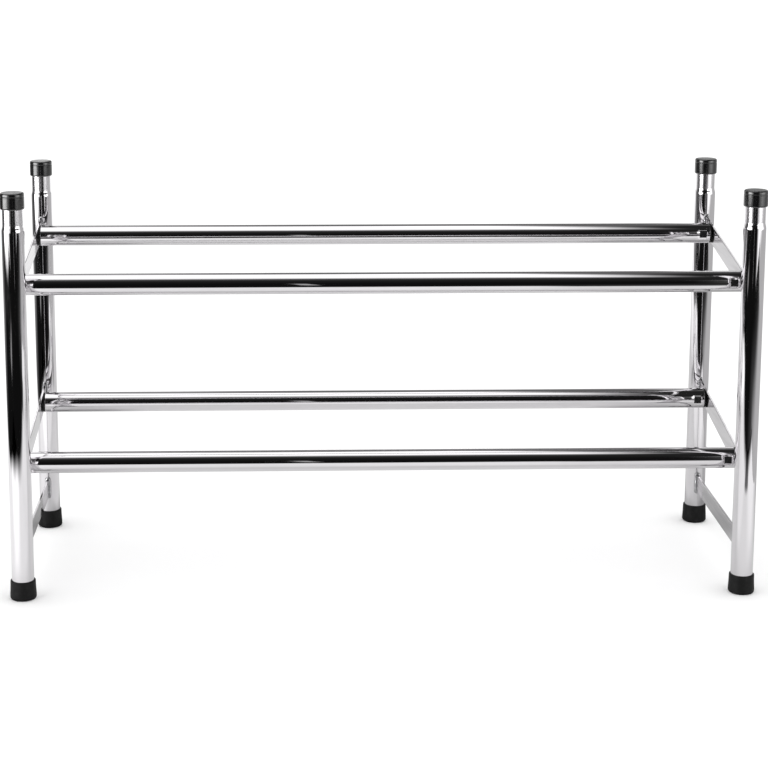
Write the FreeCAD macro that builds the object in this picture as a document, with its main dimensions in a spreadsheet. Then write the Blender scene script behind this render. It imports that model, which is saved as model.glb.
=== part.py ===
import FreeCAD, Part
import Sketcher
import os

# Extendable two-tier shoe rack. X runs along the rails, -Y is the front, +Z is up.
# The origin is on the floor, midway between the four feet when the rack is closed.
# The left frame carries the outer rails; the right frame carries the inner rails
# that slide in them, so the whole right frame pulls out along +X.

doc = FreeCAD.newDocument("pull_out_shoe_rack")
sheet = doc.addObject("Spreadsheet::Sheet", "dims")

SIZES = [
    # end frames
    ("post_x", 310.0, "post axis to the middle of the rack, along the rails"),
    ("post_y", 100.0, "post axis to the middle of the rack, front to rear"),
    ("post_od", 19.0, "post tube, outside diameter"),
    ("post_wall", 0.8, "post tube, wall"),
    ("post_low", 2.5, "bottom end of the post tube above the floor"),
    ("post_high", 350.0, "top end of the post tube above the floor"),
    ("neck_od", 17.2, "swaged neck at the top of the post"),
    ("neck_low", 320.8, "start of the swage shoulder"),
    ("neck_run", 2.6, "length of the swage shoulder"),
    ("neck_round", 4.0, "rounding of the swage shoulder"),
    ("bar_thick", 2.0, "flat bar, thickness"),
    ("bar_high", 16.7, "tilted flat bar, height"),
    ("brace_high", 16.0, "bottom flat bar, height"),
    ("brace_low", 32.0, "lower edge of the bottom flat bar"),
    ("bar_lap", 5.0, "bar blank past the post axis before it is coped"),
    # tiers
    ("rail_y", 66.0, "rail axis to the middle of the rack, front to rear"),
    ("tier_rise", 19.7, "rise of a tier from its front rail to its rear rail"),
    ("upper_z", 277.35, "upper tier at the middle of the rack"),
    ("lower_z", 120.35, "lower tier at the middle of the rack"),
    # rails
    ("outer_od", 18.4, "outer rail tube, outside diameter"),
    ("outer_wall", 0.8, "outer rail tube, wall"),
    ("inner_od", 15.0, "inner rail tube, outside diameter"),
    ("inner_wall", 0.8, "inner rail tube, wall"),
    ("inner_back", 22.0, "closed end of the inner rail, from the left bar"),
    ("flange_thick", 2.0, "collar between a rail and its bar"),
    ("window_size", 6.3, "square window for the snap tab"),
    ("window_in", 3.35, "window to the end of the outer rail"),
    # rail fittings
    ("plug_long", 14.0, "plug inside the outer rail"),
    ("inner_plug_long", 16.0, "plug inside the inner rail"),
    ("inner_flange_od", 14.4, "collar between an inner rail and its bar"),
    ("screw_od", 4.0, "screw shank"),
    ("screw_long", 16.0, "screw under its head"),
    ("screw_hole", 4.2, "screw hole in the bar"),
    ("head_od", 8.0, "screw head"),
    ("head_high", 2.2, "screw head, height"),
    ("head_rim", 0.9, "screw head, height of its rim"),
    ("head_flat", 4.4, "screw head, flat top"),
    ("cross_wide", 1.1, "cross recess, width"),
    ("cross_long", 4.0, "cross recess, length"),
    ("cross_deep", 1.2, "cross recess, depth"),
    ("bush_long", 18.0, "guide bush inside the outer rail"),
    ("bush_gap", 0.05, "running clearance of the guide bush on the inner rail"),
    ("bush_flange", 1.5, "guide bush, flange on the end of the outer rail"),
    ("bush_flange_od", 18.0, "guide bush, flange diameter"),
    ("tab_size", 6.0, "square snap tab"),
    ("tab_root", 7.7, "snap tab, distance of its root from the rail axis"),
    ("tab_face", 8.9, "snap tab, distance of its face from the rail axis"),
    ("sleeve_end", 3.0, "glide sleeve, end wall over the end of the inner rail"),
    ("sleeve_lip", 1.2, "glide sleeve, how far its end wall laps the tube's bore"),
    ("sleeve_gap", 0.05, "running clearance of the glide sleeve in the outer rail"),
    ("travel", 500.0, "how far the right frame pulls out"),
    ("stop_gap", 0.5, "glide sleeve to guide bush when pulled out"),
    # caps and feet
    ("cap_od", 20.4, "top cap, outside diameter"),
    ("cap_low", 338.0, "lower edge of the top cap"),
    ("cap_high", 352.0, "top of the cap, which is the top of the rack"),
    ("cap_round", 1.2, "top cap, rounding of the upper rim"),
    ("foot_lip", 21.6, "foot, diameter at its lip"),
    ("foot_mid", 21.9, "foot, diameter at its waist"),
    ("foot_base", 22.6, "foot, diameter at its base"),
    ("foot_high", 16.5, "foot, height"),
    ("foot_waist", 10.0, "foot, height where it starts to flare"),
    ("foot_flare", 3.6, "foot, height where the flare ends"),
    ("foot_round", 1.3, "foot, rounding of the base"),
]

for row, (alias, value, note) in enumerate(SIZES, 1):
    sheet.set("A%d" % row, note)
    sheet.set("B%d" % row, str(value))
    sheet.setAlias("B%d" % row, alias)
doc.recompute()


class Size:
    """A length as its expression on the sheet together with its present value."""

    def __init__(self, text, value):
        self.text = text
        self.value = float(value)

    def _with(self, other, sign, value, swap=False):
        a, b = self.text, size(other).text
        if swap:
            a, b = b, a
        return Size("(%s %s %s)" % (a, sign, b), value)

    def __add__(self, other):
        return self._with(other, "+", self.value + size(other).value)

    def __sub__(self, other):
        return self._with(other, "-", self.value - size(other).value)

    def __mul__(self, other):
        return self._with(other, "*", self.value * size(other).value)

    def __truediv__(self, other):
        return self._with(other, "/", self.value / size(other).value)

    def __neg__(self):
        return Size("(0 - %s)" % self.text, -self.value)


def size(thing):
    return thing if isinstance(thing, Size) else Size("%.6g" % thing, thing)


D = {alias: Size("dims.%s" % alias, value) for alias, value, note in SIZES}
ZERO = size(0)

# slope of the tilted bars, height gained per millimetre of depth
SLOPE = D["tier_rise"] / (D["rail_y"] * 2)
# inner face of each bar, where the rails start and end
FACE_X = D["post_x"] - D["bar_thick"] / 2
OUTER_LONG = FACE_X * 2 - D["flange_thick"] * 2
INNER_LONG = FACE_X * 2 - D["inner_back"] - D["flange_thick"]
OUTER_R = D["outer_od"] / 2
OUTER_BORE = OUTER_R - D["outer_wall"]
INNER_R = D["inner_od"] / 2
INNER_BORE = INNER_R - D["inner_wall"]
POST_R = D["post_od"] / 2
NECK_R = D["neck_od"] / 2
SCREW_R = D["screw_od"] / 2

nodes = []


def plane(body, role):
    for feature in body.Origin.OriginFeatures:
        if feature.Role == role:
            return feature
    raise RuntimeError("no " + role)


def body_at(label, x, y, z, turn=0, node=True):
    body = doc.addObject("PartDesign::Body", label)
    body.Label = label
    body.Placement = FreeCAD.Placement(
        FreeCAD.Vector(x.value, y.value, z.value),
        FreeCAD.Rotation(FreeCAD.Vector(0, 0, 1), turn),
    )
    for axis, where in (("x", x), ("y", y), ("z", z)):
        body.setExpression("Placement.Base." + axis, where.text)
    if node:
        nodes.append(body)
    return body


def sketch_on(body, name, role):
    sketch = body.newObject("Sketcher::SketchObject", body.Name + "_" + name)
    sketch.AttachmentSupport = [(plane(body, role), "")]
    sketch.MapMode = "FlatFace"
    return sketch


def fix_point(sketch, line, end, along, away):
    """Ties one end of a line to the sketch axes at the given sizes."""
    for kind, axis, how in (("DistanceX", -2, along), ("DistanceY", -1, away)):
        if abs(how.value) < 1e-9:
            sketch.addConstraint(
                Sketcher.Constraint("PointOnObject", line, end, axis)
            )
        else:
            number = sketch.addConstraint(
                Sketcher.Constraint(kind, -1, 1, line, end, how.value)
            )
            sketch.setExpression("Constraints[%d]" % number, how.text)


def outline(body, name, role, points):
    """A closed outline of straight lines whose corners are tied to the sheet."""
    sketch = sketch_on(body, name, role)
    corners = [FreeCAD.Vector(a.value, b.value, 0) for a, b in points]
    count = len(points)
    for i in range(count):
        sketch.addGeometry(
            Part.LineSegment(corners[i], corners[(i + 1) % count]), False
        )
    for i in range(count):
        sketch.addConstraint(
            Sketcher.Constraint("Coincident", i, 2, (i + 1) % count, 1)
        )
    for i, (a, b) in enumerate(points):
        fix_point(sketch, i, 1, a, b)
    return sketch


def circles(body, name, role, spots):
    """Circles given as (centre, centre, radius)."""
    sketch = sketch_on(body, name, role)
    for i, (a, b, radius) in enumerate(spots):
        sketch.addGeometry(
            Part.Circle(
                FreeCAD.Vector(a.value, b.value, 0), FreeCAD.Vector(0, 0, 1), radius.value
            ),
            False,
        )
        number = sketch.addConstraint(Sketcher.Constraint("Radius", i, radius.value))
        sketch.setExpression("Constraints[%d]" % number, radius.text)
        fix_point(sketch, i, 3, a, b)
    return sketch


def revolve(body, sketch, axis):
    made = body.newObject("PartDesign::Revolution", body.Name + "_turned")
    made.Profile = sketch
    made.ReferenceAxis = (sketch, [axis])
    made.Angle = 360.0
    sketch.Visibility = False
    return made


def pad(body, name, sketch, length, both=False):
    made = body.newObject("PartDesign::Pad", body.Name + "_" + name)
    made.Profile = sketch
    made.setExpression("Length", length.text)
    if both:
        made.Midplane = True
    return made


def pocket(body, name, sketch, length, both=False, back=False):
    made = body.newObject("PartDesign::Pocket", body.Name + "_" + name)
    made.Profile = sketch
    made.setExpression("Length", length.text)
    if both:
        made.Midplane = True
    if back:
        made.Reversed = True
    return made


def round_edges(body, name, radius, spots, axis="Z"):
    """Rounds the circular edges given as (edge radius, height on the axis)."""
    doc.recompute()
    base = body.Tip
    picked = []
    for number, edge in enumerate(base.Shape.Edges, 1):
        curve = edge.Curve
        if not isinstance(curve, Part.Circle):
            continue
        centre = curve.Center
        # the feature's own shape is in the body's frame
        height = centre.z if axis == "Z" else centre.x
        for wanted_radius, wanted_height in spots:
            if (
                abs(curve.Radius - wanted_radius.value) < 1e-3
                and abs(height - wanted_height.value) < 1e-3
            ):
                picked.append("Edge%d" % number)
    if len(picked) < len(spots):
        raise RuntimeError("an edge to round is missing on " + body.Label)
    made = body.newObject("PartDesign::Fillet", body.Name + "_" + name)
    made.Base = (base, picked)
    made.setExpression("Radius", radius.text)
    return made


# Posts: round tube, its top end swaged to a neck so that a second rack's posts
# can stand on it, with a smooth shoulder between the two diameters.
def post(label, x, y):
    body = body_at(label, x, y, ZERO)
    low, high = D["post_low"], D["post_high"]
    swage, end = D["neck_low"], D["neck_low"] + D["neck_run"]
    wall = D["post_wall"]
    sketch = outline(
        body,
        "profile",
        "XZ_Plane",
        [
            (POST_R - wall, low),
            (POST_R, low),
            (POST_R, swage),
            (NECK_R, end),
            (NECK_R, high),
            (NECK_R - wall, high),
            (NECK_R - wall, end),
            (POST_R - wall, swage),
        ],
    )
    revolve(body, sketch, "V_Axis")
    round_edges(
        body,
        "swage",
        D["neck_round"],
        [
            (POST_R, swage),
            (NECK_R, end),
            (POST_R - wall, swage),
            (NECK_R - wall, end),
        ],
    )
    return body


# Flat bars: they stand on edge between a front and a rear post, on the plane of
# both post axes. Each end is coped to the post that it is welded to.
def bar(label, x, low_at_front, high, slope, screw_rows):
    span = D["post_y"] * 2
    body = body_at(label, x, -D["post_y"], low_at_front)
    lap = D["bar_lap"]
    far = span - lap
    sketch = outline(
        body,
        "side",
        "YZ_Plane",
        [
            (lap, lap * slope),
            (far, far * slope),
            (far, far * slope + high),
            (lap, lap * slope + high),
        ],
    )
    pad(body, "blank", sketch, D["bar_thick"], both=True)
    cope = circles(
        body, "cope_plan", "XY_Plane", [(ZERO, ZERO, POST_R), (ZERO, span, POST_R)]
    )
    pocket(body, "cope", cope, D["post_high"], both=True)
    if screw_rows:
        holes = []
        for row in screw_rows:
            along = D["post_y"] + row
            holes.append((along, along * slope + high / 2, D["screw_hole"] / 2))
        drill = circles(body, "holes_plan", "YZ_Plane", holes)
        pocket(body, "holes", drill, D["bar_thick"] * 4, both=True)
    return body


# Outer rail: plain tube from the left collar to just short of the right bar, with
# a square window near its open end for the guide bush's snap tab.
def outer_rail(label, y, z):
    start = D["flange_thick"] - FACE_X
    body = body_at(label, start, y, z)
    sketch = outline(
        body,
        "profile",
        "XZ_Plane",
        [
            (ZERO, OUTER_BORE),
            (OUTER_LONG, OUTER_BORE),
            (OUTER_LONG, OUTER_R),
            (ZERO, OUTER_R),
        ],
    )
    revolve(body, sketch, "H_Axis")
    right = OUTER_LONG - D["window_in"]
    left = right - D["window_size"]
    half = D["window_size"] / 2
    window = outline(
        body,
        "window_plan",
        "XZ_Plane",
        [(left, -half), (right, -half), (right, half), (left, half)],
    )
    pocket(body, "window", window, OUTER_R * 2, back=True)
    return body


# Inner rail: plain tube fixed to the right bar, free at its left end.
def inner_rail(label, y, z):
    body = body_at(label, D["inner_back"] - FACE_X, y, z)
    sketch = outline(
        body,
        "profile",
        "XZ_Plane",
        [
            (ZERO, INNER_BORE),
            (INNER_LONG, INNER_BORE),
            (INNER_LONG, INNER_R),
            (ZERO, INNER_R),
        ],
    )
    revolve(body, sketch, "H_Axis")
    return body


# Outer rail plug: collar against the left bar, plug pressed into the rail, bored
# for the screw that comes through the bar.
def outer_plug(label, y, z):
    body = body_at(label, -FACE_X, y, z)
    flange, end = D["flange_thick"], D["flange_thick"] + D["plug_long"]
    bottom = end - 1.0
    sketch = outline(
        body,
        "profile",
        "XZ_Plane",
        [
            (ZERO, SCREW_R),
            (bottom, SCREW_R),
            (bottom, ZERO),
            (end, ZERO),
            (end, OUTER_BORE),
            (flange, OUTER_BORE),
            (flange, D["bush_flange_od"] / 2),
            (ZERO, D["bush_flange_od"] / 2),
        ],
    )
    revolve(body, sketch, "H_Axis")
    return body


# Inner rail plug: the same job at the right bar, small enough to stay clear of
# the guide bush. Its own +X points at the middle of the rack.
def inner_plug(label, y, z):
    body = body_at(label, FACE_X, y, z, turn=180)
    flange, end = D["flange_thick"], D["flange_thick"] + D["inner_plug_long"]
    bottom = end - 1.0
    sketch = outline(
        body,
        "profile",
        "XZ_Plane",
        [
            (ZERO, SCREW_R),
            (bottom, SCREW_R),
            (bottom, ZERO),
            (end, ZERO),
            (end, INNER_BORE),
            (flange, INNER_BORE),
            (flange, D["inner_flange_od"] / 2),
            (ZERO, D["inner_flange_od"] / 2),
        ],
    )
    revolve(body, sketch, "H_Axis")
    return body


# Glide sleeve: a closed-end sleeve over the free end of the inner rail. It runs in
# the outer rail and meets the guide bush when the rack is pulled right out.
def glide_sleeve(label, y, z):
    start = D["inner_back"] - FACE_X - D["sleeve_end"]
    bush_start = FACE_X - D["flange_thick"] - D["bush_long"]
    end = bush_start - D["travel"] - D["stop_gap"] - start
    body = body_at(label, start, y, z)
    outside = OUTER_BORE - D["sleeve_gap"]
    mouth = INNER_BORE - D["sleeve_lip"]
    wall = D["sleeve_end"]
    sketch = outline(
        body,
        "profile",
        "XZ_Plane",
        [
            (ZERO, mouth),
            (wall, mouth),
            (wall, INNER_R),
            (end, INNER_R),
            (end, outside),
            (ZERO, outside),
        ],
    )
    revolve(body, sketch, "H_Axis")
    return body


# Guide bush: sleeve in the open end of the outer rail, flange over the tube's end
# and a snap tab that fills the window on the front.
def guide_bush(label, y, z):
    start = FACE_X - D["flange_thick"] - D["bush_long"]
    body = body_at(label, start, y, z)
    bore = INNER_R + D["bush_gap"]
    shoulder = D["bush_long"]
    end = shoulder + D["bush_flange"]
    sketch = outline(
        body,
        "profile",
        "XZ_Plane",
        [
            (ZERO, bore),
            (end, bore),
            (end, D["bush_flange_od"] / 2),
            (shoulder, D["bush_flange_od"] / 2),
            (shoulder, OUTER_BORE),
            (ZERO, OUTER_BORE),
        ],
    )
    revolve(body, sketch, "H_Axis")
    middle = shoulder - D["window_in"] - D["window_size"] / 2
    half = D["tab_size"] / 2
    tab = outline(
        body,
        "tab_plan",
        "XZ_Plane",
        [
            (middle - half, -half),
            (middle + half, -half),
            (middle + half, half),
            (middle - half, half),
        ],
    )
    tab.AttachmentOffset = FreeCAD.Placement(
        FreeCAD.Vector(0, 0, D["tab_root"].value), FreeCAD.Rotation()
    )
    tab.setExpression("AttachmentOffset.Base.z", D["tab_root"].text)
    pad(body, "tab", tab, D["tab_face"] - D["tab_root"])
    return body


# Screw: pan head with a cross recess. Its own +X runs from the seat of the head
# down the shank.
def screw(label, x, y, z, turn):
    body = body_at(label, x, y, z, turn=turn, node=False)
    rim = -D["head_rim"]
    top = -D["head_high"]
    # the outline is drawn with the head on the positive side, then turned over
    sketch = outline(
        body,
        "profile",
        "XZ_Plane",
        [
            (top, ZERO),
            (D["screw_long"] - 1.5, ZERO),
            (D["screw_long"] - 1.5, SCREW_R),
            (ZERO, SCREW_R),
            (ZERO, D["head_od"] / 2),
            (rim, D["head_od"] / 2),
            (top, D["head_flat"] / 2),
        ],
    )
    revolve(body, sketch, "H_Axis")
    wide, long = D["cross_wide"] / 2, D["cross_long"] / 2
    for name, a, b in (("cross_a", wide, long), ("cross_b", long, wide)):
        slot = outline(
            body, name + "_plan", "YZ_Plane", [(-a, -b), (a, -b), (a, b), (-a, b)]
        )
        slot.AttachmentOffset = FreeCAD.Placement(
            FreeCAD.Vector(0, 0, top.value), FreeCAD.Rotation()
        )
        slot.setExpression("AttachmentOffset.Base.z", top.text)
        pocket(body, name, slot, D["cross_deep"], back=True)
    return body


# Top cap: a plain cup over the neck.
def cap(label, x, y):
    body = body_at(label, x, y, D["cap_low"])
    high = D["cap_high"] - D["cap_low"]
    roof = D["post_high"] - D["cap_low"]
    sketch = outline(
        body,
        "profile",
        "XZ_Plane",
        [
            (NECK_R, ZERO),
            (D["cap_od"] / 2, ZERO),
            (D["cap_od"] / 2, high),
            (ZERO, high),
            (ZERO, roof),
            (NECK_R, roof),
        ],
    )
    revolve(body, sketch, "V_Axis")
    round_edges(body, "rim", D["cap_round"], [(D["cap_od"] / 2, high)])
    round_edges(body, "skirt", D["cap_round"] / 3, [(D["cap_od"] / 2, ZERO)])
    return body


# Foot: a soft cup under the post that flares a little toward the floor.
def foot(label, x, y):
    body = body_at(label, x, y, ZERO)
    sketch = outline(
        body,
        "profile",
        "XZ_Plane",
        [
            (ZERO, ZERO),
            (D["foot_base"] / 2, ZERO),
            (D["foot_base"] / 2, D["foot_flare"]),
            (D["foot_mid"] / 2, D["foot_waist"]),
            (D["foot_lip"] / 2, D["foot_high"]),
            (POST_R, D["foot_high"]),
            (POST_R, D["post_low"]),
            (ZERO, D["post_low"]),
        ],
    )
    revolve(body, sketch, "V_Axis")
    round_edges(body, "base", D["foot_round"], [(D["foot_base"] / 2, ZERO)])
    round_edges(body, "lip", size(0.5), [(D["foot_lip"] / 2, D["foot_high"])])
    return body


SIDES = (("left", -D["post_x"]), ("right", D["post_x"]))
ROWS = (("front", -1), ("rear", 1))
TIERS = (("upper", D["upper_z"]), ("lower", D["lower_z"]))

for side, x in SIDES:
    for row, way in ROWS:
        y = D["post_y"] * way
        post("%s_%s_post" % (row, side), x, y)
        cap("%s_%s_cap" % (row, side), x, y)
        foot("%s_%s_foot" % (row, side), x, y)
    for tier, z in TIERS:
        start = z - D["post_y"] * SLOPE - D["bar_high"] / 2
        bar(
            "%s_%s_bar" % (side, tier),
            x,
            start,
            D["bar_high"],
            SLOPE,
            [-D["rail_y"], D["rail_y"]],
        )
    bar(
        "%s_bottom_brace" % side, x, D["brace_low"], D["brace_high"], ZERO, []
    )

for tier, z in TIERS:
    for row, way in ROWS:
        name = "%s_%s" % (row, tier)
        y = D["rail_y"] * way
        height = z + D["tier_rise"] / 2 * way
        outer_rail(name + "_outer_rail", y, height)
        outer_plug(name + "_outer_plug", y, height)
        guide_bush(name + "_guide_bush", y, height)
        inner_rail(name + "_inner_rail", y, height)
        inner_plug(name + "_inner_plug", y, height)
        glide_sleeve(name + "_glide_sleeve", y, height)

# Screws through the bars, four to a frame, their heads on the outer faces.
for side, x, turn in (
    ("left", -(FACE_X + D["bar_thick"]), 0),
    ("right", FACE_X + D["bar_thick"], 180),
):
    made = []
    for tier, z in TIERS:
        for row, way in ROWS:
            made.append(
                screw(
                    "%s_%s_%s_screw" % (side, row, tier),
                    x,
                    D["rail_y"] * way,
                    z + D["tier_rise"] / 2 * way,
                    turn,
                )
            )
    group = doc.addObject("Part::Compound", side + "_rail_screws")
    group.Label = side + "_rail_screws"
    group.Links = made
    nodes.append(group)

doc.recompute()

bad = [
    o.Label
    for o in doc.Objects
    if "Invalid" in o.State or "Error" in o.State
]
if bad:
    raise RuntimeError("failed objects: " + ", ".join(bad))
for node in nodes:
    if node.Shape.isNull() or not node.Shape.isValid():
        raise RuntimeError("bad shape: " + node.Label)

os.makedirs("parts", exist_ok=True)
for node in nodes:
    node.Shape.exportStep("parts/%s.step" % node.Label)
    box = node.Shape.BoundBox
    print(
        "%-28s solids %d  volume %9.1f  x %8.2f %8.2f  y %8.2f %8.2f  z %8.2f %8.2f"
        % (
            node.Label,
            len(node.Shape.Solids),
            node.Shape.Volume,
            box.XMin,
            box.XMax,
            box.YMin,
            box.YMax,
            box.ZMin,
            box.ZMax,
        )
    )
print(len(nodes), "nodes")
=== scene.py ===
import math
import bpy
import bmesh
from mathutils import Matrix, Vector


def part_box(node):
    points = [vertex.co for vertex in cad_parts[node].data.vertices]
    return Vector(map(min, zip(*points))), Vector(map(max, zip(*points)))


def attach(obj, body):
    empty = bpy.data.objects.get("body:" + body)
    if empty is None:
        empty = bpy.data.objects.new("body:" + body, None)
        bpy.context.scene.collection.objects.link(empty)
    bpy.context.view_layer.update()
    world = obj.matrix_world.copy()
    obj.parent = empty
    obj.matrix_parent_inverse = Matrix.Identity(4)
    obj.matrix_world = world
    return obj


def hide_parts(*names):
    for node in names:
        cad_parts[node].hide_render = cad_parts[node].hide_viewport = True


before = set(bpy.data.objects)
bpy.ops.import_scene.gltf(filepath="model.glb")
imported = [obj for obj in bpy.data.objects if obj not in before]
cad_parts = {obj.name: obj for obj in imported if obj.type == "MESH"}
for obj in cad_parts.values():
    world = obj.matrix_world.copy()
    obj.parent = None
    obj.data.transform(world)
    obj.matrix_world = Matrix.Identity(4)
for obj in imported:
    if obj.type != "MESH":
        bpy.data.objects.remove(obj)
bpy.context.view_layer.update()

MM = 0.001
scene = bpy.context.scene

# ---------------------------------------------------------------- camera
cam_data = bpy.data.cameras.new("camera")
cam = bpy.data.objects.new("camera", cam_data)
scene.collection.objects.link(cam)
scene.camera = cam
CAM_AT = (-84.2, -1727.6, 594.3)
CAM_YAW, CAM_PITCH, CAM_ROLL = 1.559, 10.374, 0.02
CAM_F, CAM_SHIFT = 1979.4, (0.06, -0.165)


def aim(yaw, pitch, roll):
    y, p, r = (math.radians(v) for v in (yaw, pitch, roll))
    ahead = Vector((math.sin(y) * math.cos(p), math.cos(y) * math.cos(p), -math.sin(p)))
    right = Vector((math.cos(y), -math.sin(y), 0.0))
    up = right.cross(ahead)
    right, up = (
        math.cos(r) * right + math.sin(r) * up,
        -math.sin(r) * right + math.cos(r) * up,
    )
    return Matrix((right, up, -ahead)).transposed()


cam.matrix_world = Matrix.Translation(Vector(CAM_AT) * MM) @ aim(
    CAM_YAW, CAM_PITCH, CAM_ROLL
).to_4x4()
cam_data.sensor_width = 36.0
cam_data.lens = CAM_F * 36.0 / 768.0
cam_data.shift_x, cam_data.shift_y = CAM_SHIFT
cam_data.clip_start, cam_data.clip_end = 0.05, 60.0


# ---------------------------------------------------------------- materials
def fresh(name):
    mat = bpy.data.materials.new(name)
    mat.use_nodes = True
    tree = mat.node_tree
    tree.nodes.clear()
    out = tree.nodes.new("ShaderNodeOutputMaterial")
    shader = tree.nodes.new("ShaderNodeBsdfPrincipled")
    tree.links.new(shader.outputs["BSDF"], out.inputs["Surface"])
    return mat, tree, shader


def noise(tree, vector, scale, detail=3.0, rough=0.5, distort=0.0):
    node = tree.nodes.new("ShaderNodeTexNoise")
    node.inputs["Scale"].default_value = scale
    node.inputs["Detail"].default_value = detail
    node.inputs["Roughness"].default_value = rough
    node.inputs["Distortion"].default_value = distort
    tree.links.new(vector, node.inputs["Vector"])
    return node.outputs["Fac"]


def stretched(tree, scale):
    """Object coordinates in metres, stretched so that noise runs along one axis."""
    where = tree.nodes.new("ShaderNodeTexCoord")
    mapping = tree.nodes.new("ShaderNodeMapping")
    mapping.inputs["Scale"].default_value = scale
    tree.links.new(where.outputs["Object"], mapping.inputs["Vector"])
    return mapping.outputs["Vector"]


def remap(tree, value, a, b, low, high):
    node = tree.nodes.new("ShaderNodeMapRange")
    node.inputs["From Min"].default_value = a
    node.inputs["From Max"].default_value = b
    node.inputs["To Min"].default_value = low
    node.inputs["To Max"].default_value = high
    tree.links.new(value, node.inputs["Value"])
    return node.outputs["Result"]


def math_node(tree, operation, a, b):
    node = tree.nodes.new("ShaderNodeMath")
    node.operation = operation
    for socket, value in zip(node.inputs, (a, b)):
        if isinstance(value, (int, float)):
            socket.default_value = value
        else:
            tree.links.new(value, socket)
    return node.outputs[0]


def blend_colour(tree, factor, a, b):
    node = tree.nodes.new("ShaderNodeMix")
    node.data_type = "RGBA"
    node.inputs["A"].default_value = (*a, 1.0)
    node.inputs["B"].default_value = (*b, 1.0)
    tree.links.new(factor, node.inputs["Factor"])
    return node.outputs["Result"]


def bump(tree, height, strength, distance, before=None):
    node = tree.nodes.new("ShaderNodeBump")
    node.inputs["Strength"].default_value = strength
    node.inputs["Distance"].default_value = distance
    tree.links.new(height, node.inputs["Height"])
    if before is not None:
        tree.links.new(before, node.inputs["Normal"])
    return node.outputs["Normal"]


def chrome(name, along, dull=0.0):
    """Bright chrome plate: draw lines along the piece, a little orange peel, faint smears."""
    mat, tree, shader = fresh(name)
    thin, long = 1.0, 0.035
    lines = stretched(tree, tuple(long if axis == along else thin for axis in "XYZ"))
    plain = stretched(tree, (1.0, 1.0, 1.0))
    smear = stretched(tree, tuple(0.30 if axis == along else 1.0 for axis in "XYZ"))
    shader.inputs["Metallic"].default_value = 1.0
    tint = blend_colour(
        tree,
        noise(tree, smear, 55.0, 4.0, 0.6),
        (0.706, 0.693, 0.710),
        (0.779, 0.764, 0.782),
    )
    tree.links.new(tint, shader.inputs["Base Color"])
    smears = remap(tree, noise(tree, smear, 38.0, 5.0, 0.62, 0.4), 0.48, 0.78, 0.0, 0.055)
    fine = remap(tree, noise(tree, lines, 900.0, 3.0, 0.6), 0.3, 0.8, 0.022 + dull, 0.052 + 1.4 * dull)
    tree.links.new(math_node(tree, "ADD", smears, fine), shader.inputs["Roughness"])
    first = bump(tree, noise(tree, lines, 420.0, 2.0, 0.5), 0.08, 0.00002)
    second = bump(tree, noise(tree, plain, 105.0, 0.0, 0.5), 0.10, 0.00006, first)
    tree.links.new(second, shader.inputs["Normal"])
    return mat


def weld_chrome(name, dull=0.0, relief=1.0):
    """Chrome over a weld: rough under the plate, so that it glints in patches."""
    mat, tree, shader = fresh(name)
    plain = stretched(tree, (1.0, 1.0, 1.0))
    shader.inputs["Metallic"].default_value = 1.0
    tree.links.new(
        blend_colour(tree, noise(tree, plain, 420.0, 2.0, 0.5), (0.30, 0.30, 0.31), (0.66, 0.66, 0.67)),
        shader.inputs["Base Color"],
    )
    tree.links.new(
        remap(tree, noise(tree, plain, 380.0, 2.0, 0.5), 0.3, 0.7, 0.14 + dull, 0.36 + dull),
        shader.inputs["Roughness"],
    )
    tree.links.new(
        bump(tree, noise(tree, plain, 430.0, 2.0, 0.5), 0.45 * relief, 0.00026),
        shader.inputs["Normal"],
    )
    return mat


def brushed(name, along):
    """Chrome over rolled flat bar: the rolling marks still show as streaks along it."""
    mat, tree, shader = fresh(name)
    streak = stretched(tree, tuple(0.012 if axis == along else 1.0 for axis in "XYZ"))
    broad = stretched(tree, tuple(0.10 if axis == along else 1.0 for axis in "XYZ"))
    plain = stretched(tree, (1.0, 1.0, 1.0))
    shader.inputs["Metallic"].default_value = 1.0
    marks = noise(tree, streak, 760.0, 4.0, 0.62)
    wide = noise(tree, broad, 150.0, 3.0, 0.55)
    both = math_node(tree, "ADD", math_node(tree, "MULTIPLY", marks, 0.65), math_node(tree, "MULTIPLY", wide, 0.35))
    tree.links.new(
        blend_colour(tree, remap(tree, both, 0.36, 0.64, 0.0, 1.0), (0.527, 0.517, 0.531), (0.764, 0.750, 0.768)),
        shader.inputs["Base Color"],
    )
    tree.links.new(remap(tree, both, 0.36, 0.66, 0.062, 0.018), shader.inputs["Roughness"])
    first = bump(tree, noise(tree, streak, 900.0, 3.0, 0.6), 0.15, 0.000012)
    second = bump(tree, noise(tree, plain, 100.0, 0.0, 0.5), 0.08, 0.00006, first)
    tree.links.new(second, shader.inputs["Normal"])
    return mat


def plastic(name, colour, light, rough, grain, depth, level=0.5, mould=0.0):
    """Black moulded plastic or rubber with a fine grain and a little dust."""
    mat, tree, shader = fresh(name)
    plain = stretched(tree, (1.0, 1.0, 1.0))
    dust = remap(tree, noise(tree, plain, 210.0, 5.0, 0.65), 0.45, 0.8, 0.0, 1.0)
    tree.links.new(blend_colour(tree, dust, colour, light), shader.inputs["Base Color"])
    tree.links.new(
        remap(tree, noise(tree, plain, 320.0, 4.0, 0.6), 0.25, 0.8, rough - 0.07, rough + 0.08),
        shader.inputs["Roughness"],
    )
    shader.inputs["Specular IOR Level"].default_value = level
    first = bump(tree, noise(tree, plain, grain, 3.0, 0.6), 0.5, depth)
    if mould:
        ring = stretched(tree, (0.05, 0.05, 1.0))
        first = bump(tree, noise(tree, ring, 700.0, 2.0, 0.5), 0.35, mould, first)
    tree.links.new(first, shader.inputs["Normal"])
    return mat


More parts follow.
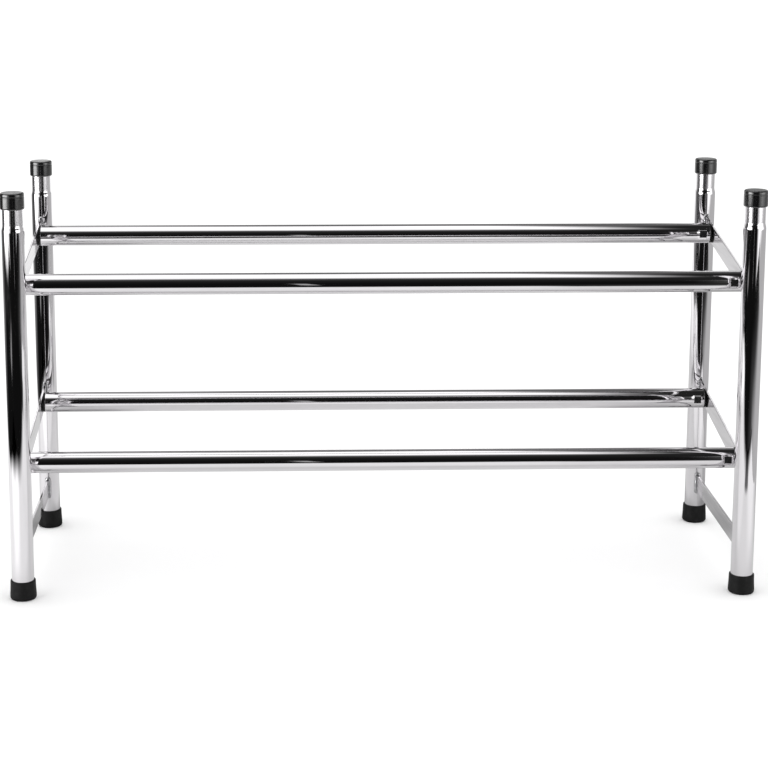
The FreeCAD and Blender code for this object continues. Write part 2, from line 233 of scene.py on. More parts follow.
def zinc(name):
    mat, tree, shader = fresh(name)
    plain = stretched(tree, (1.0, 1.0, 1.0))
    shader.inputs["Metallic"].default_value = 1.0
    tree.links.new(
        blend_colour(tree, noise(tree, plain, 400.0, 4.0, 0.6), (0.50, 0.50, 0.49), (0.70, 0.70, 0.69)),
        shader.inputs["Base Color"],
    )
    tree.links.new(
        remap(tree, noise(tree, plain, 900.0, 4.0, 0.6), 0.2, 0.8, 0.18, 0.38),
        shader.inputs["Roughness"],
    )
    tree.links.new(
        bump(tree, noise(tree, plain, 2600.0, 3.0, 0.6), 0.3, 0.00003), shader.inputs["Normal"]
    )
    return mat


CHROME_X = chrome("chrome_along_x", "X")
CHROME_Y = chrome("chrome_along_y", "Y")
CHROME_Z = chrome("chrome_along_z", "Z")
CHROME_NECK = chrome("chrome_swaged_neck", "Z", 0.115)
CHROME_WELD = weld_chrome("chrome_weld")
CHROME_BRACE_WELD = weld_chrome("chrome_brace_weld", 0.12, 0.45)
BAR = brushed("chrome_rolled_bar", "Y")
CAP = plastic("cap_plastic", (0.0035, 0.0035, 0.0038), (0.0085, 0.0085, 0.0088), 0.145, 1700.0, 0.000003, 0.95)
FOOT = plastic("foot_rubber", (0.0045, 0.0045, 0.0046), (0.011, 0.011, 0.0108), 0.50, 1300.0, 0.00003, 0.16, 0.00002)
FITTING = plastic("fitting_plastic", (0.006, 0.006, 0.0065), (0.014, 0.014, 0.0145), 0.38, 1700.0, 0.00002, 0.22)
ZINC = zinc("zinc_plate")


# ---------------------------------------------------------------- mesh tools
def finish_mesh(bm, name, mat, sharp=32.0):
    bmesh.ops.recalc_face_normals(bm, faces=bm.faces)
    limit = math.radians(sharp)
    for face in bm.faces:
        face.smooth = True
    for edge in bm.edges:
        edge.smooth = len(edge.link_faces) == 2 and edge.calc_face_angle(0.0) < limit
    mesh = bpy.data.meshes.new(name)
    bm.to_mesh(mesh)
    bm.free()
    mesh.materials.append(mat)
    obj = bpy.data.objects.new(name, mesh)
    scene.collection.objects.link(obj)
    return obj


def rounded(corners, steps=5):
    """A closed outline whose corners (along, radius, rounding) become arcs, each held by a
    support point on either side so that the flats stay flat when shaded."""
    count = len(corners)
    points = []
    for i in range(count):
        a = Vector(corners[i - 1][:2])
        b = Vector(corners[i][:2])
        c = Vector(corners[(i + 1) % count][:2])
        size = corners[i][2]
        if size <= 0:
            points.append(b)
            continue
        back, ahead = (a - b), (c - b)
        turn = math.pi - back.angle(ahead)
        reach = size * math.tan(turn / 2)
        limit = min(
            back.length * (0.46 if corners[i - 1][2] > 0 else 0.9),
            ahead.length * (0.46 if corners[(i + 1) % count][2] > 0 else 0.9),
        )
        if reach > limit:
            size *= limit / reach
            reach = limit
        back.normalize(), ahead.normalize()
        start, end = b + back * reach, b + ahead * reach
        middle = (back + ahead).normalized()
        centre = b + middle * (size / math.cos(turn / 2))
        hold = min(0.35 * reach + 0.00012, 0.04 * min((a - b).length, (c - b).length))
        points.append(start + back * hold)
        first, last = start - centre, end - centre
        sweep = first.angle(last)
        side = 1.0 if first.x * last.y - first.y * last.x > 0 else -1.0
        for k in range(steps + 1):
            t = side * sweep * k / steps
            points.append(
                centre
                + Vector(
                    (
                        first.x * math.cos(t) - first.y * math.sin(t),
                        first.x * math.sin(t) + first.y * math.cos(t),
                    )
                )
            )
        points.append(end + ahead * hold)
    return [(p.x, p.y) for p in points]


def spun(along, radius, angle, axis, centre):
    """A point on a turned piece. On a rail angle 0 faces the front, on a post too."""
    c, s = math.cos(angle), math.sin(angle)
    if axis == "Z":
        return Vector((centre[0] + radius * s, centre[1] - radius * c, centre[2] + along))
    return Vector((centre[0] + along, centre[1] - radius * c, centre[2] + radius * s))


def lathe(name, outline, axis, centre, mat, sides=96, into=None):
    """Turns a closed outline of (along, radius) points round an axis."""
    bm = into or bmesh.new()
    rings = []
    for along, radius in outline:
        if radius < 1e-7:
            rings.append([bm.verts.new(spun(along, 0.0, 0.0, axis, centre))])
        else:
            rings.append(
                [
                    bm.verts.new(spun(along, radius, 2 * math.pi * j / sides, axis, centre))
                    for j in range(sides)
                ]
            )
    for i in range(len(rings)):
        a, b = rings[i], rings[(i + 1) % len(rings)]
        if len(a) == 1 and len(b) == 1:
            continue
        for j in range(sides):
            k = (j + 1) % sides
            if len(a) == 1:
                bm.faces.new((a[0], b[k], b[j]))
            elif len(b) == 1:
                bm.faces.new((a[j], a[k], b[0]))
            else:
                bm.faces.new((a[j], a[k], b[k], b[j]))
    if into is not None:
        return bm
    return finish_mesh(bm, name, mat)


def mm(rows):
    return [tuple(v * MM for v in row) for row in rows]


def piece(obj, body, slot, *nodes):
    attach(obj, body)
    if nodes:
        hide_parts(*nodes)
    return obj


def middle(node):
    low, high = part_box(node)
    return (low + high) / 2


# ---------------------------------------------------------------- posts
POST_OUTLINE = rounded(
    mm(
        [
            (2.5, 8.7, 0.0),
            (2.5, 9.5, 0.25),
            (320.6, 9.5, 9.6),
            (323.6, 8.6, 9.6),
            (350.0, 8.6, 0.3),
            (350.0, 7.8, 0.2),
            (323.6, 7.8, 9.6),
            (320.6, 8.7, 9.6),
        ]
    ),
    8,
)
CAP_OUTLINE = rounded(
    mm(
        [
            (0.0, 8.62, 0.0),
            (0.0, 10.2, 1.25),
            (9.8, 10.2, 0.7),
            (10.25, 10.0, 0.4),
            (10.75, 10.0, 0.4),
            (11.2, 10.18, 0.7),
            (14.0, 9.98, 1.5),
            (14.0, 0.0, 0.0),
            (12.0, 0.0, 0.0),
            (12.0, 8.62, 0.0),
        ]
    ),
    6,
)
FOOT_OUTLINE = rounded(
    mm(
        [
            (0.0, 0.0, 0.0),
            (0.0, 11.28, 2.2),
            (4.4, 11.28, 4.0),
            (10.0, 10.95, 8.0),
            (16.5, 10.75, 0.55),
            (16.5, 9.5, 0.3),
            (2.5, 9.5, 0.0),
            (2.5, 0.0, 0.0),
        ]
    ),
    6,
)
FRAMES = {"left": "left_frame", "right": "right_frame"}

for side, body in FRAMES.items():
    for row in ("front", "rear"):
        name = row + "_" + side
        at = middle(name + "_post")
        foot_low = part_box(name + "_foot")[0].z
        cap_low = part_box(name + "_cap")[0].z
        tube = lathe(name + "_post_tube", POST_OUTLINE, "Z", (at.x, at.y, 0.0), CHROME_Z)
        tube.data.materials.append(CHROME_NECK)
        for face in tube.data.polygons:
            if face.center.z > 0.3233:
                face.material_index = 1
        piece(tube, body, "tube_chrome", name + "_post")
        piece(
            lathe(name + "_cap_moulded", CAP_OUTLINE, "Z", (at.x, at.y, cap_low), CAP),
            body, "cap_plastic", name + "_cap",
        )
        piece(
            lathe(name + "_foot_moulded", FOOT_OUTLINE, "Z", (at.x, at.y, foot_low), FOOT),
            body, "foot_rubber", name + "_foot",
        )


# ---------------------------------------------------------------- flat bars
def bar(name, node, body, slope, high):
    """A rolled flat bar on edge, its corners eased, its ends let into the posts."""
    low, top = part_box(node)
    x = (low.x + top.x) / 2
    half, reach = 0.001, 0.0909
    ease, steps = 0.0003, 4
    middle_z = (low.z + top.z) / 2
    section = rounded(
        [
            (-half, -high / 2, ease),
            (half, -high / 2, ease),
            (half, high / 2, ease),
            (-half, high / 2, ease),
        ],
        steps,
    )
    bm = bmesh.new()
    rings = []
    cuts = 24
    for i in range(cuts + 1):
        y = -reach + 2 * reach * i / cuts
        rings.append(
            [bm.verts.new((x + a, y, middle_z + slope * y + b)) for a, b in section]
        )
    count = len(section)
    for a, b in zip(rings, rings[1:]):
        for j in range(count):
            k = (j + 1) % count
            bm.faces.new((a[j], a[k], b[k], b[j]))
    bm.faces.new(rings[0])
    bm.faces.new(rings[-1])
    return piece(finish_mesh(bm, name, BAR), body, "bar_chrome", node)


def bead(bm, x, y, z, high, way, thick, seed, scales):
    """A fillet weld all round a bar's end, where it stands on the post: overlapping
    scales of uneven size, laid in one closed loop."""
    steps, sides = 176, 16
    straight, turn = high / 2 - 0.0004, 0.0013
    side = 2 * straight
    arc = math.pi * turn
    whole = 2 * side + 2 * arc
    rings = []
    for i in range(steps):
        t = i / steps
        run = t * whole
        if run < side:
            px, pz, ox, oz = turn, run - straight, 1.0, 0.0
        elif run < side + arc:
            a = (run - side) / turn
            ox, oz = math.cos(a), math.sin(a)
            px, pz = turn * ox, straight + turn * oz
        elif run < 2 * side + arc:
            px, pz, ox, oz = -turn, straight - (run - side - arc), -1.0, 0.0
        else:
            a = (run - 2 * side - arc) / turn
            ox, oz = -math.cos(a), -math.sin(a)
            px, pz = turn * ox, -straight + turn * oz
        turns = 2 * math.pi * t
        lump = (
            1.0
            + scales * math.sin(11 * turns + seed + 0.9 * math.sin(3 * turns + 2 * seed))
            + 0.07 * math.sin(5 * turns + 2.3 * seed)
            + 0.06 * math.sin(2 * turns + 4.1 * seed)
        )
        size = thick * lump
        sway = 0.00018 * math.sin(3 * turns + 3.7 * seed)
        ring = []
        for j in range(sides):
            a = 2 * math.pi * j / sides
            out, up = math.cos(a), math.sin(a)
            off = size * out * (1.0 if out > 0 else 0.5)
            along = size * up * (1.15 if up > 0 else 0.5) + (sway if up > -0.1 else 0.0)
            ring.append(
                bm.verts.new((x + px + ox * off, y - way * along, z + pz + oz * off))
            )
        rings.append(ring)
    for i in range(steps):
        a, b = rings[i], rings[(i + 1) % steps]
        for j in range(sides):
            k = (j + 1) % sides
            bm.faces.new((a[j], a[k], b[k], b[j]))


SLOPE = 19.7 / 132.0
for side, body in FRAMES.items():
    welds = bmesh.new()
    number = 0
    for kind, slope, high, thick, scales in (
        ("upper_bar", SLOPE, 0.0167, 0.00105, 0.07),
        ("lower_bar", SLOPE, 0.0167, 0.00105, 0.07),
        ("bottom_brace", 0.0, 0.016, 0.0016, 0.025),
    ):
        node = side + "_" + kind
        bar(node + "_rolled", node, body, slope, high)
        low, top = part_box(node)
        x, centre_z = (low.x + top.x) / 2, (low.z + top.z) / 2
        for way in (-1, 1):
            number += 1
            end_y = way * 0.0902
            bead(
                welds, x, end_y, centre_z + slope * end_y, high, way, thick, 1.7 * number, scales
            )
    welded = finish_mesh(welds, side + "_frame_welds", CHROME_WELD, 70.0)
    welded.data.materials.append(CHROME_BRACE_WELD)
    for face in welded.data.polygons:
        if face.center.z < 0.06:
            face.material_index = 1
    piece(welded, body, "tube_chrome")


# ---------------------------------------------------------------- rails
def outer_rail(name, node, body):
    """Plain tube whose front wall has a square window near its right end, with the
    metal drawn in a little round it."""
    low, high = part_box(node)
    centre = (low.x, (low.y + high.y) / 2, (low.z + high.z) / 2)
    length = high.x - low.x
    out_r, in_r = 0.0092, 0.0084
    win_b = length - 0.00335
    win_a = win_b - 0.0063
    half = 0.00315
    deep, spread = 0.00026, 0.0011

    def dent(along, tall):
        over = max(win_a - along, along - win_b, 0.0)
        up = max(abs(tall) - half, 0.0)
        less = 0.4 if along > win_b else 1.0
        return less * deep * math.exp(-(over * over + up * up) / (spread * spread))

    # places along the tube
    close = [win_a - 0.0050, win_a - 0.0038, win_a - 0.0029, win_a - 0.0022, win_a - 0.0017,
             win_a - 0.0012, win_a - 0.0008, win_a - 0.0004, win_a - 0.00012, win_a]
    inside = [win_a + (win_b - win_a) * t for t in (0.1, 0.3, 0.5, 0.7, 0.9)]
    after = [win_b, win_b + 0.00012, win_b + 0.0004, win_b + 0.0008, win_b + 0.0013,
             win_b + 0.0019, win_b + 0.0025]
    along_outer = [0.00022, 0.0006, 0.02, 0.15, 0.30, 0.45, 0.57] + close + inside + after + [
        length - 0.0004, length - 0.00022]
    # round the tube: angle 0 is the front; the window's sides have lines of their own
    edge_out, edge_in = math.asin(half / out_r), math.asin(half / in_r)

    def angles(edge):
        across = [edge * t for t in (-0.75, -0.5, -0.25, 0.0, 0.25, 0.5, 0.75)]
        near = [edge + math.radians(d) for d in (0.0, 0.7, 2.0, 4.0, 6.5, 9.5, 13.0, 17.0, 22.0, 28.0)]
        rest_from, rest_to = near[-1], 2 * math.pi - near[-1]
        rest = [rest_from + (rest_to - rest_from) * k / 60 for k in range(1, 60)]
        left = [-a for a in reversed(near)]
        return across, near, rest, left

    def ring_angles(edge):
        across, near, rest, left = angles(edge)
        # starts at the lower side of the window and goes up through the front
        return [left[-1]] + across + near + rest + [2 * math.pi + a for a in left[:-1]]

    outer_a, inner_a = ring_angles(edge_out), ring_angles(edge_in)
    count = len(outer_a)
    # columns 0..8 lie on or between the window's edges
    columns = set(range(0, 8))
    bm = bmesh.new()

    def ring(along, radius, table, dented=True):
        made = []
        for angle in table:
            tall = radius * math.sin(angle)
            front = math.cos(angle) > 0
            less = dent(along, tall) if dented and front else 0.0
            made.append(bm.verts.new(spun(along, radius - less, angle, "X", centre)))
        return made

    outer = [(a, ring(a, out_r, outer_a)) for a in along_outer]
    along_inner = [0.0003, 0.02] + [win_a, *inside, win_b] + [length - 0.0003]
    inner = [(a, ring(a, in_r, inner_a, False)) for a in along_inner]

    def hole(a, b):
        return a >= win_a - 1e-9 and b <= win_b + 1e-9

    for rings, turned in ((outer, False), (inner, True)):
        for (a, first), (b, second) in zip(rings, rings[1:]):
            for j in range(count):
                k = (j + 1) % count
                if hole(a, b) and j in columns:
                    continue
                bm.faces.new((first[j], first[k], second[k], second[j]))
    # window walls: straight through the wall at the four sides
    out_window = [r for a, r in outer if win_a - 1e-9 <= a <= win_b + 1e-9]
    in_window = [r for a, r in inner if win_a - 1e-9 <= a <= win_b + 1e-9]
    for j in (0, 8):
        for (oa, ob), (ia, ib) in zip(zip(out_window, out_window[1:]), zip(in_window, in_window[1:])):
            bm.faces.new((oa[j], ob[j], ib[j], ia[j]))
    for o, i in ((out_window[0], in_window[0]), (out_window[-1], in_window[-1])):
        for j in range(8):
            bm.faces.new((o[j], o[j + 1], i[j + 1], i[j]))
    # rounded ends
    for end, way in ((0.0, 1), (length, -1)):
        o = outer[0][1] if way > 0 else outer[-1][1]
        i = inner[0][1] if way > 0 else inner[-1][1]
        chain = [o]
        for step in (1, 2, 3):
            t = math.radians(90 * step / 3)
            r = 0.00022
            along = end + way * (r - r * math.sin(t))
            made = []
            for angle in outer_a:
                tall = out_r * math.sin(angle)
                less = dent(along, tall) if math.cos(angle) > 0 else 0.0
                made.append(
                    bm.verts.new(spun(along, out_r - less - (r - r * math.cos(t)), angle, "X", centre))
                )
            chain.append(made)
        chain.append([bm.verts.new(spun(end, in_r + 0.0001, a, "X", centre)) for a in inner_a])
        chain.append(i)
        for first, second in zip(chain, chain[1:]):
            for j in range(count):
                k = (j + 1) % count
                bm.faces.new((first[j], first[k], second[k], second[j]))
    return piece(finish_mesh(bm, name, CHROME_X, 40.0), body, "tube_chrome", node)


def block(bm, low, high, ease, steps=3):
    """A rounded block, for the snap tab."""
    x0, y0, z0 = low
    x1, y1, z1 = high
    made = bmesh.ops.create_cube(bm, size=1.0)
    for v in made["verts"]:
        v.co = Vector(
            (
                x0 if v.co.x < 0 else x1,
                y0 if v.co.y < 0 else y1,
                z0 if v.co.z < 0 else z1,
            )
        )
    edges = list({e for v in made["verts"] for e in v.link_edges})
    bmesh.ops.bevel(bm, geom=edges, offset=ease, segments=steps, profile=0.5, affect="EDGES")


INNER_TUBE = [(0.0, 6.7, 0.1), (0.0, 7.5, 0.25), (594.0, 7.5, 0.25), (594.0, 6.7, 0.1)]
OUTER_PLUG = [
    (0.0, 2.0, 0.0), (15.0, 2.0, 0.0), (15.0, 0.0, 0.0), (16.0, 0.0, 0.0), (16.0, 8.4, 0.4),
    (2.0, 8.4, 0.0), (2.0, 9.0, 0.35), (0.0, 9.0, 0.25),
]
INNER_PLUG = [
    (18.0, 2.0, 0.0), (3.0, 2.0, 0.0), (3.0, 0.0, 0.0), (0.0, 0.0, 0.0), (0.0, 6.7, 0.4),
    (16.0, 6.7, 0.0), (16.0, 7.2, 0.3), (18.0, 7.2, 0.2),
]
BUSH = [
    (0.0, 7.55, 0.3), (19.5, 7.55, 0.3), (19.5, 9.0, 0.35), (18.0, 9.0, 0.2), (18.0, 8.4, 0.0),
    (0.0, 8.4, 0.3),
]

for tier in ("upper", "lower"):
    for row in ("front", "rear"):
        name = row + "_" + tier + "_"
        at = middle(name + "outer_rail")
        outer_rail(name + "outer_tube", name + "outer_rail", "left_frame")
        for node, outline, mat, body, slot in (
            ("outer_plug", OUTER_PLUG, FITTING, "left_frame", "fitting_plastic"),
            ("inner_rail", INNER_TUBE, CHROME_X, "right_frame", "tube_chrome"),
            ("inner_plug", INNER_PLUG, FITTING, "right_frame", "fitting_plastic"),
        ):
            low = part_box(name + node)[0]
            piece(
                lathe(name + node + "_turned", rounded(mm(outline), 4), "X", (low.x, at.y, at.z), mat, 80),
                body, slot, name + node,
            )
        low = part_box(name + "guide_bush")[0]
        bm = bmesh.new()
        lathe("", rounded(mm(BUSH), 4), "X", (low.x, at.y, at.z), None, 80, bm)
        tab_x = low.x + (18.0 - 3.35 - 3.15) * MM
        block(
            bm,
            (tab_x - 0.003, at.y - 0.0089, at.z - 0.003),
            (tab_x + 0.003, at.y - 0.0077, at.z + 0.003),
            0.0003,
        )
        piece(
            finish_mesh(bm, name + "guide_bush_moulded", FITTING),
            "left_frame", "fitting_plastic", name + "guide_bush",
        )
        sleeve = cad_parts[name + "glide_sleeve"]
        sleeve.data.materials.clear()
        sleeve.data.materials.append(FITTING)


# ---------------------------------------------------------------- screws
def screws(side, body):
    """Pan heads with a cross recess; four to a frame, on the outer faces of the bars."""
    bm = bmesh.new()
    low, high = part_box(side + "_rail_screws")
    out = -1 if side == "left" else 1
    seat = (low.x + 0.0022) if side == "left" else (high.x - 0.0022)
    for tier in ("upper", "lower"):
        for row in ("front", "rear"):
            at = middle(row + "_" + tier + "_outer_rail")
            tip = seat - out * 0.0145
            sides = 48
            rows = []
            # dome over a short rim, from the seat up to the middle
            rim, top, radius = 0.0008, 0.0022, 0.004
            shape = [(0.0, 0.002), (0.0, radius - 0.0001), (0.0001, radius), (rim, radius)]
            for k in range(1, 9):
                t = math.radians(90 * k / 8)
                shape.append((rim + (top - rim) * math.sin(t), 0.0012 + (radius - 0.0012) * math.cos(t)))
            for along, r in shape:
                rows.append(
                    [
                        bm.verts.new(
                            (
                                seat + out * along,
                                at.y + r * math.cos(2 * math.pi * j / sides),
                                at.z + r * math.sin(2 * math.pi * j / sides),
                            )
                        )
                        for j in range(sides)
                    ]
                )
            shank = [
                [
                    bm.verts.new(
                        (
                            tip if end else seat,
                            at.y + 0.00199 * math.cos(2 * math.pi * j / sides),
                            at.z + 0.00199 * math.sin(2 * math.pi * j / sides),
                        )
                    )
                    for j in range(sides)
                ]
                for end in (1, 0)
            ]
            chain = [shank[0], shank[1]] + rows[1:]
            for a, b in zip(chain, chain[1:]):
                for j in range(sides):
                    k = (j + 1) % sides
                    bm.faces.new((a[j], a[k], b[k], b[j]))
            bm.faces.new(chain[0])
            # the recess is a cross-shaped pit let into the flat top
            cap = chain[-1]
            cross = []
            w, l = 0.00048, 0.0017
            for a, b in ((w, l), (w, w), (l, w), (l, -w), (w, -w), (w, -l),
                         (-w, -l), (-w, -w), (-l, -w), (-l, w), (-w, w), (-w, l)):
                cross.append((a, b))
            bm.faces.new(cap)
            head = bmesh.new()
            pit_low = seat + out * (top - 0.0011)
            pit_high = seat + out * (top + 0.0006)
            deep = [head.verts.new((pit_low, at.y + a * 0.75, at.z + b * 0.75)) for a, b in cross]
            wide = [head.verts.new((pit_high, at.y + a, at.z + b)) for a, b in cross]
            for j in range(12):
                k = (j + 1) % 12
                head.faces.new((deep[j], deep[k], wide[k], wide[j]))
            head.faces.new(deep)
            head.faces.new(wide)
            bmesh.ops.recalc_face_normals(head, faces=head.faces)
            cutters.setdefault(side, []).append(head)
    obj = finish_mesh(bm, side + "_screws_pan_head", ZINC, 40.0)
    joined = bmesh.new()
    for head in cutters[side]:
        mesh = bpy.data.meshes.new("cut")
        head.to_mesh(mesh)
        head.free()
        joined.from_mesh(mesh)
        bpy.data.meshes.remove(mesh)
    cut_mesh = bpy.data.meshes.new(side + "_cross_cut")
    joined.to_mesh(cut_mesh)
    joined.free()
    cut = bpy.data.objects.new(side + "_cross_cut", cut_mesh)
    scene.collection.objects.link(cut)
    mod = obj.modifiers.new("cross", "BOOLEAN")
    mod.operation, mod.object, mod.solver = "DIFFERENCE", cut, "EXACT"
    bpy.context.view_layer.update()
    done = bpy.data.meshes.new_from_object(
        obj.evaluated_get(bpy.context.evaluated_depsgraph_get())
    )
    obj.modifiers.clear()
    obj.data = done
    bpy.data.objects.remove(cut)
    return piece(obj, body, "screw_steel", side + "_rail_screws")


cutters = {}
for side, body in FRAMES.items():
    screws(side, body)


# ---------------------------------------------------------------- studio
ONCE = "once"


def soft_sum(tree, terms):
    """A sum of terms, each a strength and its soft edges: (direction, dark at, bright at)
    in mm. A term marked ONCE is a lamp too faint to show again in a second reflection."""
    where = tree.nodes.new("ShaderNodeTexCoord")
    total = None
    for strength, edges in terms:
        value = strength
        for edge in edges:
            if edge == ONCE:
                path = tree.nodes.new("ShaderNodeLightPath")
                first = math_node(tree, "LESS_THAN", path.outputs["Glossy Depth"], 1.5)
                value = math_node(tree, "MULTIPLY", first, value)
                continue
            direction, dark, bright = edge
            along = tree.nodes.new("ShaderNodeVectorMath")
            along.operation = "DOT_PRODUCT"
            tree.links.new(where.outputs["Object"], along.inputs[0])
            along.inputs[1].default_value = direction
            soft = tree.nodes.new("ShaderNodeMapRange")
            soft.interpolation_type = "SMOOTHSTEP"
            flip = bright < dark
            soft.inputs["From Min"].default_value = (bright if flip else dark) * MM
            soft.inputs["From Max"].default_value = (dark if flip else bright) * MM
            soft.inputs["To Min"].default_value = 1.0 if flip else 0.0
            soft.inputs["To Max"].default_value = 0.0 if flip else 1.0
            tree.links.new(along.outputs["Value"], soft.inputs["Value"])
            value = math_node(tree, "MULTIPLY", soft.outputs["Result"], value)
        total = value if total is None else math_node(tree, "ADD", value, total)
    return total


def panel(name, corners, terms, matt_cover_with_painted_shade=None):
    """A surface of the light tent, which the chrome sees and the camera doesn't. It glows,
    and on the table and the floor round it that glow is painted light. Where it has a matt layer,
    that is white and takes the rack's own shade, and the layer's negative terms are painted shade."""
    mat = bpy.data.materials.new(name)
    mat.use_nodes = True
    tree = mat.node_tree
    tree.nodes.clear()
    out = tree.nodes.new("ShaderNodeOutputMaterial")
    shine = tree.nodes.new("ShaderNodeEmission")
    glow = soft_sum(tree, terms)
    if isinstance(glow, (int, float)):
        shine.inputs["Strength"].default_value = glow
    else:
        tree.links.new(glow, shine.inputs["Strength"])
    surface = shine.outputs[0]
    if matt_cover_with_painted_shade is not None:
        matt = tree.nodes.new("ShaderNodeBsdfDiffuse")
        tree.links.new(soft_sum(tree, matt_cover_with_painted_shade), matt.inputs["Color"])
        both = tree.nodes.new("ShaderNodeAddShader")
        tree.links.new(matt.outputs[0], both.inputs[0])
        tree.links.new(shine.outputs[0], both.inputs[1])
        surface = both.outputs[0]
    tree.links.new(surface, out.inputs["Surface"])
    mesh = bpy.data.meshes.new(name)
    mesh.from_pydata([tuple(v * MM for v in c) for c in corners], [], [tuple(range(len(corners)))])
    mesh.materials.append(mat)
    obj = bpy.data.objects.new(name, mesh)
    scene.collection.objects.link(obj)
    obj.visible_camera = False
    obj.visible_shadow = False
    obj.visible_diffuse = False
    return obj


# pale floor
floor_mesh = bpy.data.meshes.new("floor")
floor_mesh.from_pydata(
    [(-30, -30, 0), (30, -30, 0), (30, 30, 0), (-30, 30, 0)], [], [(0, 1, 2, 3)]
)
floor = bpy.data.objects.new("floor", floor_mesh)
scene.collection.objects.link(floor)
floor_mat, floor_tree, floor_shader = fresh("pale_floor")
floor_shader.inputs["Base Color"].default_value = (0.94, 0.94, 0.94, 1.0)
floor_shader.inputs["Roughness"].default_value = 0.95
floor_shader.inputs["Specular IOR Level"].default_value = 0.0
floor_mesh.materials.append(floor_mat)
floor.visible_glossy = False

X, Y, Z = (1, 0, 0), (0, 1, 0), (0, 0, 1)
R = 1500  # the tent's walls stand this far from the rack, in mm
# the white table that the rack stands on, and the studio's floor round it; their glow is painted light, and the
# table's matt colour carries painted shade round the rack
FRONT, LEFT, CORNER = (Y, -570, -430), (X, -770, -690), ((1, 1, 0), -1060, -900)
panel(
    "table",
    [(-770, -570, 0.15), (650, -570, 0.15), (650, R, 0.15), (-770, R, 0.15)],
    # painted light on the table: brighter pools in front, to the left and left rear, to the right front, under the
    # middle of the rack and at the rear, and a dimmer strip along the front right edge
    [
        (0.17, [(Y, -90, -200), FRONT, LEFT, CORNER]),
        (0.12, [(X, -40, -200), (Y, -90, -200), FRONT, LEFT, CORNER]),
        (-0.15, [(X, 190, 240), (X, 430, 385), (Y, -395, -435), FRONT]),
        (0.14, [(Y, -90, -200), (X, -180, 0), (X, 240, 130), FRONT]),
        (0.38, [(X, -300, -410), (Y, 230, 60), FRONT, LEFT, CORNER]),
        (0.20, [(X, 320, 500), (Y, 0, -120), FRONT]),
        (0.42, [(Y, 60, 450), (X, -300, -420)]),
        (0.12, [(Y, -140, -60), (Y, 330, 200), (X, -300, -220), (X, 300, 220)]),
        (0.08, [(Y, 700, 1000)]),
        (0.15, [(Y, 700, 1000), (X, -40, -110)]),
    ],
    # the table's matt colour with painted shade: darker patches under the rack between its posts, beside the right
    # posts and along the front right edge; the rack's own shade on it is real
    [
        (0.615, [FRONT, LEFT, CORNER]),
        (-0.50, [(X, 190, 240), (X, 430, 385), (Y, -395, -435), FRONT]),
        (-0.26, [(Y, 10, 80), (Y, 270, 180), (X, -215, -265), (X, -350, -326)]),
        (-0.20, [(Y, 10, 80), (Y, 270, 180), (X, 205, 255)]),
        (-0.12, [(Y, -50, 10), (Y, 190, 140), (X, 318, 345), (X, 470, 400)]),
    ],
)
panel(
    "ground",
    [(-R, -R, -4), (R, -R, -4), (R, R, -4), (-R, R, -4)],
    # painted light on the studio floor: pools of light to the right front and the left rear, and a small bright
    # patch out at the left front
    [
        (0.50, [(X, 500, 700), (Y, -900, -250)]),
        (0.30, [(X, -500, -700), (Y, -50, 900)]),
        (0.05, [(X, 150, 600), (Y, -1300, -700)]),
        (0.34, [(X, -1130, -1040), (X, -870, -950), (Y, -1130, -760), (Y, -640, -740)]),
        (0.006, []),
    ],
)
# the lamp overhead: a big soft box, its right edge running in towards the rear
panel(
    "overhead",
    [(-R, -R, R), (R, -R, R), (R, R, R), (-R, R, R)],
    [
        (1.45, [(Y, -1000, -300), (Y, 900, 480), ((1, 0.19, 0), 470, 270)]),
        (0.50, [(X, -30, -480), (Y, 480, 900)]),
        (0.10, [(Y, -300, 300), (X, 540, 400)]),
        (0.12, [(Y, 150, 600), (X, 400, 540)]),
        (0.03, [(X, 540, 400)]),
        (0.02, []),
    ],
)
panel(
    "left_wall",
    [(-R, -R, -4), (-R, R, -4), (-R, R, R), (-R, -R, R)],
    [
        (1.45, [((0, -0.10, 1), 85, 140), (Y, 60, -150), (Z, 1490, 1300)]),
        (0.75, [(Z, 780, 900), (Y, -300, -450), (Z, 1490, 1300)]),
        (6.0, [ONCE, ((0, -0.10, 1), 115, 175), (Z, 60, 110), (Y, -110, -320), (Z, 860, 700)]),
        (0.16, [(Y, 0, 900)]),
        (0.02, []),
    ],
)
panel(
    "right_wall",
    [(R, -R, -4), (R, R, -4), (R, R, R), (R, -R, R)],
    [
        (0.95, [((0, -0.16, 1), 190, 260), (Y, 100, -500), (Z, 960, 840)]),
        (1.3, [ONCE, ((0, -0.16, 1), 255, 330), (Y, -300, -700), (Z, 860, 700)]),
        (0.50, [(Z, 960, 840)]),
        (0.06, []),
    ],
)
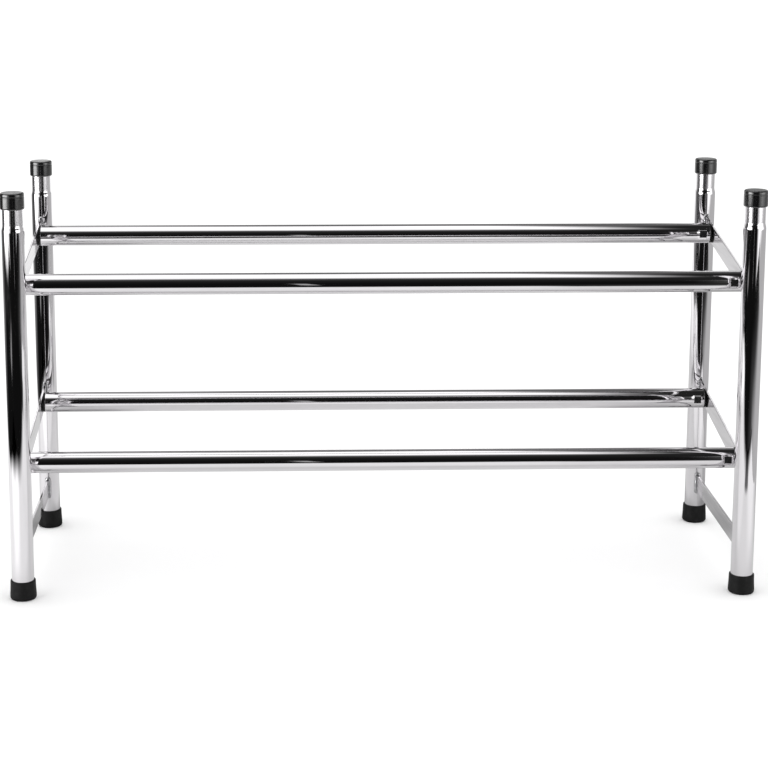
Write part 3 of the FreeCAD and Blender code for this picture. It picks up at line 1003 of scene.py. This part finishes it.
panel(
    "front_wall",
    [(-R, -R, -4), (R, -R, -4), (R, -R, R), (-R, -R, R)],
    [
        (1.4, [(X, -950, -1400), (Z, 990, 870)]),
        (1.0, [(X, -620, -1000), (Z, 80, 112), (Z, 990, 870)]),
        (1.4, [(X, 550, 1150), (Z, 960, 840)]),
        (1.4, [(X, 620, 740), (Z, 390, 470), (Z, 960, 840)]),
        (0.32, [(Z, 850, 970), (X, 720, 1150)]),
        (0.42, [((1, 0, 0.05), -60, -50), ((1, 0, 0.05), -24, -34), (Z, 520, 300)]),
        (0.010, [(Z, 250, 1300)]),
        (0.006, []),
    ],
)
panel(
    "rear_wall",
    [(-R, R, -4), (R, R, -4), (R, R, R), (-R, R, R)],
    [
        (0.62, [(Z, 700, 250), (X, 1250, 800), (X, -1250, -800)]),
        (0.17, [(Z, 700, 250), (X, -40, -130)]),
        (0.20, [(Z, 700, 250), (X, -160, -300)]),
        (0.34, [(Z, 700, 250), (X, 60, 300)]),
        (1.15, [(X, -478, -530), (Z, 760, 860)]),
        (0.45, [(X, -400, -450), (Z, 440, 500), (Z, 690, 620)]),
        (0.95, [(X, 560, 660), (Z, 760, 860)]),
        (0.22, []),
    ],
)

world = bpy.data.worlds.new("studio")
scene.world = world
world.use_nodes = True
tree = world.node_tree
tree.nodes.clear()
out = tree.nodes.new("ShaderNodeOutputWorld")
mix = tree.nodes.new("ShaderNodeMixShader")
path = tree.nodes.new("ShaderNodeLightPath")
bright = tree.nodes.new("ShaderNodeBackground")
bright.inputs["Color"].default_value = (1.0, 1.0, 1.0, 1.0)
bright.inputs["Strength"].default_value = 1.24
dark = tree.nodes.new("ShaderNodeBackground")
dark.inputs["Color"].default_value = (1.0, 1.0, 1.0, 1.0)
dark.inputs["Strength"].default_value = 0.02
tree.links.new(path.outputs["Is Glossy Ray"], mix.inputs["Fac"])
tree.links.new(bright.outputs[0], mix.inputs[1])
tree.links.new(dark.outputs[0], mix.inputs[2])
tree.links.new(mix.outputs[0], out.inputs["Surface"])

scene.view_settings.view_transform = "Standard"
scene.view_settings.look = "None"
scene.view_settings.exposure = 0.0
